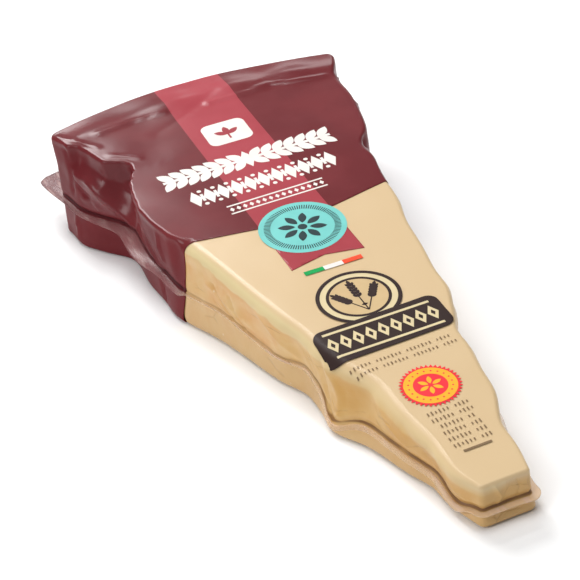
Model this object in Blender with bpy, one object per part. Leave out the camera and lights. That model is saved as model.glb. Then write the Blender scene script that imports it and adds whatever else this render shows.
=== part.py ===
"""A vacuum-packed wedge of hard cheese lying on its flat side, with its welded film rim.

Blender 4.5, metres, +Z up. The wedge points to -Y and its rind faces +Y. The origin is on the
ground under the middle of the pack. Plan sizes are measured from the middle of the round badge
printed on the top face, which stands at BADGE.
"""

import math
from collections import namedtuple

import bmesh
import bpy
from mathutils import Vector

MM = 0.001
BADGE = Vector((0.72, 5.15)) * MM

# Corners of the wedge in plan, before rounding
TIP_LEFT = Vector((-5.6, -96.9)) * MM
RIND_LEFT = Vector((-40.6, 72.2)) * MM
RIND_RIGHT = Vector((41.2, 72.6)) * MM
TIP_RIGHT = Vector((5.6, -96.9)) * MM
RIND_BULGE = 5.8 * MM

# Radii of the upright corners: tip left, rind left, rind right and tip right
CORNER_RADII = (1.2 * MM, 2.2 * MM, 2.2 * MM, 1.2 * MM)

# The top face slopes down from the rind to the tip
BADGE_HEIGHT = 20.5 * MM
TOP_SLOPE = math.tan(math.radians(6.3))
BOTTOM_EDGE = 0.8 * MM
SIDE_EDGE = 2.0 * MM
END_EDGE = 0.9 * MM
SHARP_TIP_LENGTH = 25 * MM

# Near the ground the wall stands out a little more
FOOT_FLARE = 0.8 * MM

# The line where the upper and the lower film are welded rises from the tip to the rind, and has
# waves along the left side: the rise or fall at a place and the reach round it
WELD_TIP = 3.6 * MM
WELD_RISE = 0.043
WeldWave = namedtuple("WeldWave", "side place rise reach")
WELD_WAVES = (
    WeldWave("left", -6, 1.0, 9),
    WeldWave("left", -38, 1.2, 6),
    WeldWave("left", -51, -3.0, 5.5),
    WeldWave("left", -90, -1.5, 3.5),
)
CREASE_DEPTH = 0.6 * MM
CREASE_HEIGHT = 2.2 * MM

# A raised edge runs along the rind, and the top face falls away a little behind it
RIDGE_FROM_RIND = 8.5 * MM
RIDGE_HEIGHT = 0.7 * MM
RIDGE_WIDTH = 2.6 * MM
RIDGE_FALL = 0.03

# Hollows (positive depth) and swellings in the wall: the side, the place along it, the level from
# 0 at the ground to 1 at the top, the depth, the reach back and ahead of the place, and the reach
# in level. The place is y on the long sides and x on the ends.
Hollow = namedtuple("Hollow", "side place level depth back ahead tall")
HOLLOWS = (
    Hollow("left", 46, 1.0, 7.2, 8, 5.5, 0.42),
    Hollow("left", 57, 1.0, 2.6, 6, 5, 0.42),
    Hollow("left", 22, 1.0, -1.2, 9, 8, 0.5),
    Hollow("left", 44, 0.2, 4.8, 12, 8.5, 0.55),
    Hollow("left", 61, 0.0, -1.2, 5, 6, 0.5),
    Hollow("left", 11, 0.1, -2.1, 12, 8, 0.45),
    Hollow("left", -36, 0.3, 1.7, 6, 6, 0.6),
    Hollow("left", -52, 0.1, -2.5, 7, 6, 0.45),
    Hollow("left", -60, 1.0, 2.2, 9, 8, 0.5),
    Hollow("left", -81, 0.1, 0.9, 4, 5, 0.6),
    Hollow("left", -90, 0.7, -1.3, 5, 6, 0.5),
    Hollow("right", 61, 1.0, 2.0, 8, 6, 0.7),
    Hollow("right", 26, 1.0, 2.6, 5, 5, 0.4),
    Hollow("right", 14, 0.8, 1.9, 12, 12, 0.8),
    Hollow("right", -10, 0.8, 1.0, 8, 8, 0.6),
    Hollow("right", -37, 0.8, -1.3, 6, 6, 0.5),
    Hollow("right", -51, 0.8, 1.2, 5, 4, 0.5),
    Hollow("right", -72, 0.8, -0.8, 5, 5, 0.6),
    Hollow("right", -82, 0.9, 1.0, 5, 5, 0.5),
    Hollow("rind", -14, 0.5, -0.9, 26, 22, 0.5),
    Hollow("rind", 22, 0.6, 1.2, 12, 14, 0.4),
)

# Width of the welded rim: its least width, and more of it where the film was left wide
RIM_WIDTH = 1.6 * MM
RIM_THICKNESS = 0.5 * MM
RIM_GAP = 0.35 * MM
RimSwell = namedtuple("RimSwell", "side place extra reach")
RIM_SWELLS = (
    RimSwell("left", 38, 2.8, 12),
    RimSwell("right", 62, -0.6, 16),
    RimSwell("right", -20, -0.5, 60),
    RimSwell("tip", 6, 0.6, 2.5),
)

# Behind the rind the two films are welded far beyond the cheese, most of all at the left corner
RIND_TAB = 7.5 * MM
RIND_TAB_CORNER = Vector((-2.2, 3.5)) * MM
RIND_TAB_REACH = 16 * MM

# Towards the right rind corner the two films are trimmed close to the cheese
TRIM_START = 20 * MM
TRIM_REACH = 20 * MM

# On the long left side the rim hangs down, less so at the tip
RIM_DROOP = 0.9 * MM
RIM_DROOP_FROM = -88 * MM

# Stations round the outline: along a long side, along an end, and on half of a corner
SIDE_STEPS = 62
END_STEPS = 16
CORNER_STEPS = 3
BOTTOM_ARC_STEPS = 3
LOWER_WALL_STEPS = 4
UPPER_WALL_STEPS = 7
TOP_ARC_STEPS = 4

Station = namedtuple("Station", "side place point normal distance")


def clear_scene():
    for item in list(bpy.data.objects):
        bpy.data.objects.remove(item, do_unlink=True)


def smooth(share):
    """Eases from 0 to 1 as share goes from 0 to 1."""
    share = min(max(share, 0), 1)
    return share * share * (3 - 2 * share)


def left_of(direction):
    """The horizontal unit vector that points to the left of a direction."""
    return Vector((-direction.y, direction.x)).normalized()


def side_point(start, end, bulge, share):
    """A point on a side that bows out by bulge, and the side's outward normal there."""
    chord = end - start
    outward = left_of(chord)
    place = 2 * share - 1
    point = start + chord * share + outward * bulge * (1 - place * place)
    tangent = chord - outward * bulge * 4 * place
    return point, left_of(tangent)


def rounded_corners(corners, bulges):
    """Middles of the rounded corners, and the direction in which each corner points."""
    middles = []
    points_to = []
    for index, corner in enumerate(corners):
        before = corners[index - 1]
        after = corners[(index + 1) % len(corners)]
        normal_in = side_point(before, corner, bulges[index - 1], 1)[1]
        normal_out = side_point(corner, after, bulges[index], 0)[1]
        both = normal_in + normal_out
        middles.append(corner - both * CORNER_RADII[index] / (1 + normal_in.dot(normal_out)))
        points_to.append(both.normalized())
    return middles, points_to


def outline_stations():
    """Stations clockwise round the wedge: left side, rind, right side and tip."""
    names = ("left", "rind", "right", "tip")
    corners = (TIP_LEFT, RIND_LEFT, RIND_RIGHT, TIP_RIGHT)
    bulges = (0, RIND_BULGE, 0, 0)
    steps = (SIDE_STEPS, END_STEPS, SIDE_STEPS, END_STEPS)
    middles, points_to = rounded_corners(corners, bulges)
    placed = []
    for index, name in enumerate(names):
        after = (index + 1) % len(middles)
        start = middles[index]
        end = middles[after]
        first_radius = CORNER_RADII[index]
        last_radius = CORNER_RADII[after]
        first_normal = side_point(start, end, bulges[index], 0)[1]
        last_normal = side_point(start, end, bulges[index], 1)[1]
        for step in range(CORNER_STEPS):
            normal = points_to[index].lerp(first_normal, step / CORNER_STEPS).normalized()
            placed.append((name, start + normal * first_radius, normal))
        for step in range(steps[index] + 1):
            share = step / steps[index]
            middle, normal = side_point(start, end, bulges[index], share)
            radius = first_radius + (last_radius - first_radius) * share
            placed.append((name, middle + normal * radius, normal))
        for step in range(1, CORNER_STEPS):
            share = step / CORNER_STEPS
            normal = last_normal.lerp(points_to[after], share).normalized()
            placed.append((name, end + normal * last_radius, normal))
    stations = []
    distance = 0
    for name, point, normal in placed:
        if stations:
            distance += (point - stations[-1].point).length
        place = point.y if name in ("left", "right") else point.x
        stations.append(Station(name, place, point, normal, distance))
    perimeter = distance + (stations[0].point - stations[-1].point).length
    return stations, perimeter


STATIONS, PERIMETER = outline_stations()


def distance_of(side, place):
    """Distance round the outline of a named place on a side."""
    on_side = [station for station in STATIONS if station.side == side]
    return min(on_side, key=lambda station: abs(station.place - place * MM)).distance


def signed_distance(distance, origin):
    """Distance from origin the short way round the outline."""
    half = PERIMETER / 2
    return (distance - origin + half) % PERIMETER - half


HOLLOW_DISTANCES = [distance_of(hollow.side, hollow.place) for hollow in HOLLOWS]
WAVE_DISTANCES = [distance_of(wave.side, wave.place) for wave in WELD_WAVES]
RIM_DISTANCES = [distance_of(swell.side, swell.place) for swell in RIM_SWELLS]


def wall_offset(distance, level):
    """How far the wall stands out from the plain outline."""
    offset = FOOT_FLARE * (1 - smooth(level / 0.35))
    for hollow, origin in zip(HOLLOWS, HOLLOW_DISTANCES):
        away = signed_distance(distance, origin) / MM
        if hollow.side in ("left", "rind"):
            reach = hollow.back if away < 0 else hollow.ahead
        else:
            reach = hollow.ahead if away < 0 else hollow.back
        along = away / reach
        rise = (level - hollow.level) / hollow.tall
        offset -= hollow.depth * MM * math.exp(-along * along - rise * rise)
    return offset


def top_surface(point):
    """Height of the top face over a point in plan."""
    height = BADGE_HEIGHT + TOP_SLOPE * point.y
    half_width = RIND_RIGHT.x
    rind_edge = RIND_LEFT.y + RIND_BULGE * (1 - (point.x / half_width) ** 2)
    behind_ridge = point.y - (rind_edge - RIDGE_FROM_RIND)
    ridge = RIDGE_HEIGHT * math.exp(-(behind_ridge / RIDGE_WIDTH) ** 2)
    return height + ridge - RIDGE_FALL * max(behind_ridge, 0)


def weld_height(station):
    """Height of the weld line at a station."""
    height = WELD_TIP + WELD_RISE * (station.point.y - TIP_LEFT.y)
    for wave, origin in zip(WELD_WAVES, WAVE_DISTANCES):
        along = signed_distance(station.distance, origin) / (wave.reach * MM)
        height += wave.rise * MM * math.exp(-along * along)
    return height


def top_edge_radius(station):
    """The long edges of the top face are rounder than its ends, but not close to the tip."""
    from_tip = smooth((station.point.y - TIP_LEFT.y) / SHARP_TIP_LENGTH)
    side_edge = END_EDGE + (SIDE_EDGE - END_EDGE) * from_tip
    return side_edge * station.normal.x ** 2 + END_EDGE * station.normal.y ** 2


def wall_profile(station):
    """Insets and heights up the wall at a station, from the flat base to the top face."""
    radius = top_edge_radius(station)
    top = top_surface(station.point)
    weld = weld_height(station)
    profile = []
    for step in range(BOTTOM_ARC_STEPS + 1):
        angle = math.pi / 2 * step / BOTTOM_ARC_STEPS
        profile.append((BOTTOM_EDGE * (1 - math.sin(angle)), BOTTOM_EDGE * (1 - math.cos(angle))))
    for step in range(1, LOWER_WALL_STEPS + 1):
        share = step / LOWER_WALL_STEPS
        profile.append((0, BOTTOM_EDGE + (weld - BOTTOM_EDGE) * share))
    profile.append((CREASE_DEPTH, weld + CREASE_HEIGHT * 0.2))
    profile.append((CREASE_DEPTH / 2, weld + CREASE_HEIGHT * 0.6))
    crease_top = weld + CREASE_HEIGHT
    for step in range(UPPER_WALL_STEPS + 1):
        share = step / UPPER_WALL_STEPS
        profile.append((0, crease_top + (top - radius - crease_top) * share))
    for step in range(1, TOP_ARC_STEPS + 1):
        angle = math.pi / 2 * step / TOP_ARC_STEPS
        profile.append((radius * (1 - math.cos(angle)), top - radius * (1 - math.sin(angle))))
    return profile


def wall_column(station):
    """Points up the wall at one station."""
    top = top_surface(station.point)
    column = []
    for inset, height in wall_profile(station):
        out = wall_offset(station.distance, height / top) - inset
        plan = station.point + station.normal * out
        column.append(Vector((plan.x, plan.y, height)))
    radius = top_edge_radius(station)
    for point in column[-TOP_ARC_STEPS - 1:]:
        point.z += top_surface(point) - top
    return column


def patch_sides(ring):
    """Splits a ring into the four sides of a patch: left, rind, right and tip, each start to end."""
    sides = []
    names = [station.side for station in STATIONS]
    for name in ("left", "rind", "right", "tip"):
        start = names.index(name)
        count = names.count(name)
        sides.append([ring[(start + step) % len(ring)] for step in range(count + 1)])
    left, rind, right, tip = sides
    return left, rind, right[::-1], tip[::-1]


def length_shares(points):
    """How far along a line each of its points lies, from 0 at the first to 1 at the last."""
    lengths = [0]
    for before, after in zip(points, points[1:]):
        lengths.append(lengths[-1] + (after - before).length)
    return [length / lengths[-1] for length in lengths]


def blended_grid(left, rind, right, tip):
    """Rows of points inside a patch with four given sides, blended from all of them."""
    left_shares, rind_shares, right_shares, tip_shares = map(length_shares, (left, rind, right, tip))
    grid = []
    for row in range(1, len(left) - 1):
        up = (left_shares[row] + right_shares[row]) / 2
        points = []
        for column in range(1, len(tip) - 1):
            across = tip_shares[column] * (1 - up) + rind_shares[column] * up
            straight = left[row].lerp(right[row], across) + tip[column].lerp(rind[column], up)
            corners = tip[0].lerp(tip[-1], across).lerp(rind[0].lerp(rind[-1], across), up)
            points.append(straight - corners)
        grid.append(points)
    return grid


def add_top_face(mesh, ring):
    """Fills the top with a grid whose points lie on the top surface."""
    left, rind, right, tip = patch_sides(ring)
    sides = [[vertex.co.copy() for vertex in side] for side in (left, rind, right, tip)]
    rows = [tip]
    for row, points in enumerate(blended_grid(*sides), start=1):
        vertices = [left[row]]
        for point in points:
            point.z = top_surface(point)
            vertices.append(mesh.verts.new(point))
        vertices.append(right[row])
        rows.append(vertices)
    rows.append(rind)
    for lower, upper in zip(rows, rows[1:]):
        for step in range(len(lower) - 1):
            mesh.faces.new((lower[step], lower[step + 1], upper[step + 1], upper[step]))


def add_base_face(mesh, ring):
    """Fills the flat base with strips from side to side and one face at each end."""
    left, rind, right, tip = patch_sides(ring)
    for step in range(len(left) - 1):
        mesh.faces.new((left[step], left[step + 1], right[step + 1], right[step]))
    mesh.faces.new(tip)
    mesh.faces.new(rind)


def add_object(name, mesh, color, roughness):
    """Makes the object of a finished mesh, with its own material."""
    bmesh.ops.recalc_face_normals(mesh, faces=mesh.faces)
    data = bpy.data.meshes.new(name)
    mesh.to_mesh(data)
    mesh.free()
    data.shade_smooth()
    data.set_sharp_from_angle(angle=math.radians(40))
    material = bpy.data.materials.new(name)
    material.use_nodes = True
    shader = material.node_tree.nodes["Principled BSDF"]
    shader.inputs["Base Color"].default_value = (*color, 1)
    shader.inputs["Roughness"].default_value = roughness
    shader.inputs["Metallic"].default_value = 0
    data.materials.append(material)
    item = bpy.data.objects.new(name, data)
    bpy.context.scene.collection.objects.link(item)
    item.location = (BADGE.x, BADGE.y, 0)
    return item


def make_sealed_wedge():
    """The cheese in its skin-tight film, from the flat base up to the sloping printed face."""
    mesh = bmesh.new()
    columns = [[mesh.verts.new(point) for point in wall_column(station)] for station in STATIONS]
    rings = list(zip(*columns))
    for lower, upper in zip(rings, rings[1:]):
        for step in range(len(lower)):
            follow = (step + 1) % len(lower)
            mesh.faces.new((lower[step], lower[follow], upper[follow], upper[step]))
    add_base_face(mesh, rings[0])
    add_top_face(mesh, rings[-1])
    return add_object("sealed_wedge", mesh, (0.68, 0.46, 0.24), 0.3)


def rim_width(distance):
    """Width of the welded rim at a distance round the outline."""
    width = RIM_WIDTH
    for swell, origin in zip(RIM_SWELLS, RIM_DISTANCES):
        along = signed_distance(distance, origin) / (swell.reach * MM)
        width += swell.extra * MM * math.exp(-along * along)
    return width


def rim_reach(station):
    """How far the rim reaches from the wall, as a vector in plan."""
    reach = station.normal * rim_width(station.distance)
    from_corner = (station.point.x - RIND_LEFT.x) / RIND_TAB_REACH
    tab = RIND_TAB_CORNER * math.exp(-from_corner * from_corner)
    tab.y += RIND_TAB
    trimmed = 1 - smooth((station.point.x - TRIM_START) / TRIM_REACH)
    return reach + tab * trimmed * smooth((station.normal.y + 0.2) / 0.7)


def rim_droop(station):
    """How much lower the rim's outer edge is than the weld line."""
    away_from_tip = smooth((station.point.y - RIM_DROOP_FROM) / (20 * MM))
    return RIM_DROOP * away_from_tip * max(-station.normal.x, 0)


def make_weld_rim():
    """The thin rim of film welded to film that stands out all round the wedge."""
    mesh = bmesh.new()
    columns = []
    for station in STATIONS:
        weld = weld_height(station)
        level = weld / top_surface(station.point)
        wall = station.point + station.normal * wall_offset(station.distance, level)
        droop = rim_droop(station)
        inner = wall + station.normal * RIM_GAP
        outer = wall + rim_reach(station)
        column = (
            Vector((inner.x, inner.y, weld)),
            Vector((outer.x, outer.y, weld - droop)),
            Vector((outer.x, outer.y, weld - droop - RIM_THICKNESS)),
            Vector((inner.x, inner.y, weld - RIM_THICKNESS)),
        )
        columns.append([mesh.verts.new(point) for point in column])
    for step, column in enumerate(columns):
        follow = columns[(step + 1) % len(columns)]
        for edge in range(len(column)):
            after = (edge + 1) % len(column)
            mesh.faces.new((column[edge], column[after], follow[after], follow[edge]))
    return add_object("weld_rim", mesh, (0.62, 0.45, 0.42), 0.25)


clear_scene()
make_sealed_wedge()
make_weld_rim()
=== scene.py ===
"""A wedge of hard cheese, vacuum-packed in printed film, dressed for its picture.

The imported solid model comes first, as the frame. Shapes are worked out in millimetres from the
ground under the middle of the round badge, and are placed in the model's metres as each mesh is made.
"""

import math
from collections import namedtuple

import bmesh
import bpy
from mathutils import Matrix, Vector, noise
from mathutils.bvhtree import BVHTree


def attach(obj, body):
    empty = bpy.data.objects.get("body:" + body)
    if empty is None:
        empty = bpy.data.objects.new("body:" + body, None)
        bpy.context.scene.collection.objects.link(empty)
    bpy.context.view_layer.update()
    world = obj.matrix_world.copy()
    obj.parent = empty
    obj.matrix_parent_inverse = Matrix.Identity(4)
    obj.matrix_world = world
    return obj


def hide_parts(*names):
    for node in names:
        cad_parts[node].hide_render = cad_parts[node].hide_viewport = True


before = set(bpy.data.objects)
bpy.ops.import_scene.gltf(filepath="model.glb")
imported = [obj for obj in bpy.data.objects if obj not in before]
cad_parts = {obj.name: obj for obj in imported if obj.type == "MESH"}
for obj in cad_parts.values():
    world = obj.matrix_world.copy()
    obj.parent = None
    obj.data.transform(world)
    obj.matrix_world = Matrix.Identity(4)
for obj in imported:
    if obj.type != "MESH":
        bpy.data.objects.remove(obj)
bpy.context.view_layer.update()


# The cheese
# A wedge cut from a whole wheel, with the rind at the back, two cut sides and a blunt tip. It is a
# hard straw-coloured cheese with white crystals, and the clear film clings to it like a varnish.

MM = 0.001
BADGE = Vector((0.72, 5.15, 0))
TIP_LEFT = Vector((-5.6, -96.9))
RIND_LEFT = Vector((-40.6, 72.2))
RIND_RIGHT = Vector((41.2, 72.6))
TIP_RIGHT = Vector((5.6, -96.9))
RIND_BULGE = 5.8
CORNER_RADII = (1.2, 2.2, 2.2, 1.2)
BADGE_HEIGHT = 20.5
TOP_SLOPE = math.tan(math.radians(6.3))
BOTTOM_EDGE = 0.8
CUT_EDGE = 3.2
FILM_EDGE = 0.9
RIGHT_EDGE = 1.2
END_EDGE = 0.8
SHARP_TIP_LENGTH = 25
FOOT_FLARE = 0.8
FOOT_LEVEL = 0.35
WELD_TIP = 3.6
WELD_RISE = 0.043
CREASE_DEPTH = 0.7
CREASE_HEIGHT = 1.8
CREASE_CURVE = 1.5
SHALLOW_CREASE = 0.6
SHALLOW_FROM = -58
SHALLOW_REACH = 34
BADGE_RADIUS = 10.5
FIELD_START = 0.235
FIELD_SLOPE = 0.2
FIELD_BLEND = 3
UNDER_CLEAR_FILM = 0.12
UNDER_PRINTED_FILM = 1.1
SINK_AT_EDGE = 0.4
CALM_BY_EDGE = 1.5

SIDE_STEPS = 220
END_STEPS = 84
CORNER_STEPS = 4
BOTTOM_ARC_STEPS = 3
LOWER_WALL_STEPS = 9
CREASE_STEPS = 5
UPPER_WALL_STEPS = 22
TOP_ARC_STEPS = 7

# Hollows (positive depth) and swellings: side, place along it, level from 0 at the ground to 1 at
# the top, depth, reach back and ahead of the place, and reach in level
Hollow = namedtuple("Hollow", "side place level depth back ahead tall")
HOLLOWS = (
    Hollow("left", 44, 0.2, 4.8, 12, 8.5, 0.55),
    Hollow("left", 61, 0.0, -1.2, 5, 6, 0.5),
    Hollow("left", 11, 0.1, -2.1, 12, 8, 0.45),
    Hollow("left", -36, 0.3, 1.7, 6, 6, 0.6),
    Hollow("left", -52, 0.1, -2.5, 7, 6, 0.45),
    Hollow("left", -60, 1.0, 2.2, 9, 8, 0.5),
    Hollow("left", -81, 0.1, 0.9, 4, 5, 0.6),
    Hollow("left", -90, 0.7, -1.3, 5, 6, 0.5),
    Hollow("right", 61, 1.0, 2.0, 8, 6, 0.7),
    Hollow("right", 26, 1.0, 2.6, 5, 5, 0.4),
    Hollow("right", 14, 0.8, 1.9, 12, 12, 0.8),
    Hollow("right", -10, 0.8, 1.0, 8, 8, 0.6),
    Hollow("right", -37, 0.8, -1.3, 6, 6, 0.5),
    Hollow("right", -51, 0.8, 1.2, 5, 4, 0.5),
    Hollow("right", -72, 0.8, -0.8, 5, 5, 0.6),
    Hollow("right", -82, 0.9, 1.0, 5, 5, 0.5),
    Hollow("rind", -14, 0.5, -0.9, 26, 22, 0.5),
    Hollow("rind", 22, 0.6, 1.2, 12, 14, 0.4),
)

# Beside the left rind corner the top edge is broken away: place along the side, and depth there. The
# break runs down to a ledge, which is lower the further it is from the corner.
NOTCH = (
    (70, 0.0), (63.5, 0.2), (61.3, 2.4), (57, 3.1), (51.2, 3.3), (49.3, 5.2),
    (47.5, 7.1), (45.5, 7.8), (43, 7.1), (40.7, 5.0), (38, 3.1), (34, 1.6),
    (31, 0.6), (26.5, -0.7), (20, -1.2), (14, -0.9), (10, 0.0),
)
LEDGE_LOW = 0.42
LEDGE_HIGH = 0.76
LEDGE_LOW_PLACE = 40
LEDGE_HIGH_PLACE = 56
NOTCH_HIGH = 0.86

# Waves in the weld line: side, place, rise and reach
WeldWave = namedtuple("WeldWave", "side place rise reach")
WELD_WAVES = (
    WeldWave("left", -6, 1.0, 9),
    WeldWave("left", -38, 1.2, 6),
    WeldWave("left", -51, -3.0, 5.5),
    WeldWave("left", -90, -1.5, 3.5),
)

# Breaks and facets in the cut face: side, path of (place, height), rise and width
Fold = namedtuple("Fold", "side path rise width")
BREAKS = (
    Fold("left", ((-3, 15), (-6.5, 11.5), (-11, 7.5)), -0.45, 1.0),
    Fold("left", ((-9.7, 14.5), (-12, 11), (-15, 7.4)), -0.45, 0.9),
    Fold("left", ((-1, 14), (-9, 12), (-20, 9.5)), 0.35, 3.0),
    Fold("left", ((-22, 15), (-30, 11), (-41, 7)), 0.4, 3.2),
    Fold("left", ((-47, 13.5), (-52, 8), (-53, 4.5)), 0.6, 2.4),
    Fold("left", ((-45, 13), (-47, 8), (-50, 3.2)), -0.5, 2.0),
    Fold("left", ((-62, 12), (-66, 9), (-74, 7)), 0.35, 2.4),
    Fold("left", ((-72, 11), (-79, 8), (-86, 5)), -0.3, 2.0),
    Fold("left", ((-83, 10.5), (-88, 7), (-93, 5)), 0.35, 1.8),
    Fold("right", ((5, 19), (-8, 13), (-20, 9)), 0.4, 3.2),
    Fold("right", ((-25, 15), (-31, 10), (-35, 7)), -0.35, 1.4),
    Fold("right", ((-44, 14), (-56, 10), (-66, 8)), 0.4, 2.6),
    Fold("right", ((-70, 11), (-77, 8), (-88, 6)), -0.3, 1.8),
    Fold("tip", ((-2.4, 9), (-1.2, 6), (-1.8, 4.4)), 0.3, 1.2),
    Fold("tip", ((2.2, 9), (3.0, 6.5), (2.2, 4.6)), -0.25, 1.0),
)

# Unevenness of the cut face and of the top: depth and size
CUT_ROUGHNESS = ((0.34, 9.0), (0.12, 3.2))
TOP_WAVES = ((0.16, 26.0), (0.05, 9.0))
WAVE_START = Vector((3.1, 7.7, 1.9))

Station = namedtuple("Station", "side place point normal distance")


def smooth(share):
    """Eases from 0 to 1 as share goes from 0 to 1."""
    share = min(max(share, 0), 1)
    return share * share * (3 - 2 * share)


def left_of(direction):
    """The horizontal unit vector that points to the left of a direction."""
    return Vector((-direction.y, direction.x)).normalized()


def side_point(start, end, bulge, share):
    """A point on a side that bows out by bulge, and the side's outward normal there."""
    chord = end - start
    outward = left_of(chord)
    place = 2 * share - 1
    point = start + chord * share + outward * bulge * (1 - place * place)
    tangent = chord - outward * bulge * 4 * place
    return point, left_of(tangent)


def rounded_corners(corners, bulges):
    """Middles of the rounded corners, and the direction in which each corner points."""
    middles = []
    points_to = []
    for index, corner in enumerate(corners):
        before = corners[index - 1]
        after = corners[(index + 1) % len(corners)]
        normal_in = side_point(before, corner, bulges[index - 1], 1)[1]
        normal_out = side_point(corner, after, bulges[index], 0)[1]
        both = normal_in + normal_out
        middles.append(corner - both * CORNER_RADII[index] / (1 + normal_in.dot(normal_out)))
        points_to.append(both.normalized())
    return middles, points_to


def outline_stations():
    """Stations clockwise round the wedge: left side, rind, right side and tip."""
    names = ("left", "rind", "right", "tip")
    corners = (TIP_LEFT, RIND_LEFT, RIND_RIGHT, TIP_RIGHT)
    bulges = (0, RIND_BULGE, 0, 0)
    steps = (SIDE_STEPS, END_STEPS, SIDE_STEPS, END_STEPS)
    middles, points_to = rounded_corners(corners, bulges)
    placed = []
    for index, name in enumerate(names):
        after = (index + 1) % len(middles)
        start = middles[index]
        end = middles[after]
        first_radius = CORNER_RADII[index]
        last_radius = CORNER_RADII[after]
        first_normal = side_point(start, end, bulges[index], 0)[1]
        last_normal = side_point(start, end, bulges[index], 1)[1]
        for step in range(CORNER_STEPS):
            normal = points_to[index].lerp(first_normal, step / CORNER_STEPS).normalized()
            placed.append((name, start + normal * first_radius, normal))
        for step in range(steps[index] + 1):
            share = step / steps[index]
            middle, normal = side_point(start, end, bulges[index], share)
            radius = first_radius + (last_radius - first_radius) * share
            placed.append((name, middle + normal * radius, normal))
        for step in range(1, CORNER_STEPS):
            share = step / CORNER_STEPS
            normal = last_normal.lerp(points_to[after], share).normalized()
            placed.append((name, end + normal * last_radius, normal))
    stations = []
    distance = 0
    for name, point, normal in placed:
        if stations:
            distance += (point - stations[-1].point).length
        place = point.y if name in ("left", "right") else point.x
        stations.append(Station(name, place, point, normal, distance))
    perimeter = distance + (stations[0].point - stations[-1].point).length
    return stations, perimeter


STATIONS, PERIMETER = outline_stations()


def distance_of(side, place):
    """Distance round the outline of a named place on a side."""
    on_side = [station for station in STATIONS if station.side == side]
    return min(on_side, key=lambda station: abs(station.place - place)).distance


def signed_distance(distance, origin):
    """Distance from origin the short way round the outline."""
    half = PERIMETER / 2
    return (distance - origin + half) % PERIMETER - half


HOLLOW_DISTANCES = [distance_of(hollow.side, hollow.place) for hollow in HOLLOWS]
WAVE_DISTANCES = [distance_of(wave.side, wave.place) for wave in WELD_WAVES]


def notch_depth(station, level):
    """Depth of the broken top edge beside the left rind corner."""
    if station.side != "left":
        return 0
    for (high, depth_high), (low, depth_low) in zip(NOTCH, NOTCH[1:]):
        if low <= station.place <= high:
            share = smooth((station.place - low) / (high - low))
            depth = depth_low + (depth_high - depth_low) * share
            from_low = (station.place - LEDGE_LOW_PLACE) / (LEDGE_HIGH_PLACE - LEDGE_LOW_PLACE)
            ledge = LEDGE_LOW + (LEDGE_HIGH - LEDGE_LOW) * smooth(from_low)
            share = min(max((level - ledge) / (NOTCH_HIGH - ledge), 0), 1)
            return depth * share * (2 - share)
    return 0


def wall_offset(station, level):
    """How far the wall stands out from the plain outline."""
    offset = FOOT_FLARE * (1 - smooth(level / FOOT_LEVEL))
    for hollow, origin in zip(HOLLOWS, HOLLOW_DISTANCES):
        away = signed_distance(station.distance, origin)
        if hollow.side in ("left", "rind"):
            reach = hollow.back if away < 0 else hollow.ahead
        else:
            reach = hollow.ahead if away < 0 else hollow.back
        along = away / reach
        rise = (level - hollow.level) / hollow.tall
        offset -= hollow.depth * math.exp(-along * along - rise * rise)
    return offset - notch_depth(station, level)


def fold_rise(folds, side, place, height):
    """Height of sharp-crested folds at a place on a side."""
    total = 0
    here = Vector((place, height))
    for fold in folds:
        if fold.side != side:
            continue
        nearest = fold.width
        for start, end in zip(fold.path, fold.path[1:]):
            start = Vector(start)
            along = Vector(end) - start
            share = (here - start).dot(along) / along.length_squared
            share = min(max(share, 0), 1)
            nearest = min(nearest, (here - start - along * share).length)
        total += fold.rise * (1 - nearest / fold.width) ** 2
    return total


def waves(point, octaves):
    """Gentle unevenness at a point in space, from a list of depths and sizes."""
    total = 0
    for depth, size in octaves:
        total += depth * noise.noise(Vector(point) / size + WAVE_START)
    return total


def field_share(point):
    """0 under the clear film and 1 well under the printed film, by the place in plan."""
    edge = BADGE_RADIUS * FIELD_START + FIELD_SLOPE * abs(point.x)
    return smooth((point.y - edge) / FIELD_BLEND)


def base_top(point):
    """Height of the plain sloping top face over a point in plan."""
    return BADGE_HEIGHT + TOP_SLOPE * point.y


def weld_height(station):
    """Height of the weld line beside a station."""
    height = WELD_TIP + WELD_RISE * (station.point.y - TIP_LEFT.y)
    for wave, origin in zip(WELD_WAVES, WAVE_DISTANCES):
        along = signed_distance(station.distance, origin) / wave.reach
        height += wave.rise * math.exp(-along * along)
    return height


# The film is stretched over the rind's top edge in a ridge, and falls away a little behind it. Sharp
# crests run along the ridge, and dimples lie round it: place in plan, rise and reach.
RIDGE_FROM_RIND = 8.5
RIDGE_HEIGHT = 0.45
RIDGE_WIDTH = 3.6
RIDGE_FALL = 0.03
CRESTS = (
    Fold("top", ((-29.5, 64.6), (-20, 66.2), (-10.4, 66.0)), 0.5, 1.5),
    Fold("top", ((1.0, 64.7), (10.2, 64.2), (17.3, 63.9)), 0.35, 1.8),
    Fold("top", ((15, 65.0), (18.4, 65.4), (24.1, 63.2), (33.7, 61.4)), 0.5, 1.5),
    Fold("top", ((-39.0, 69.6), (-37.6, 66.4), (-34.6, 62.4), (-31.5, 58.6)), 0.35, 1.5),
    Fold("top", ((-30.2, 53.4), (-27.0, 51.6), (-23.5, 48.6)), 0.25, 1.4),
    Fold("top", ((5, 69.5), (-6, 62.0), (-16, 57.5)), -0.10, 2.6),
)
DIMPLES = (
    (10, 70, 0.18, 6), (1, 71, -0.15, 6), (-8, 71, 0.2, 6), (-20, 69, -0.2, 6), (19, 69, -0.25, 5),
    (27, 67, 0.25, 5), (33, 65, -0.2, 5), (-27, 56, 0.2, 8), (-20, 50, -0.15, 8),
)
CRESTS_FROM = 44


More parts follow.
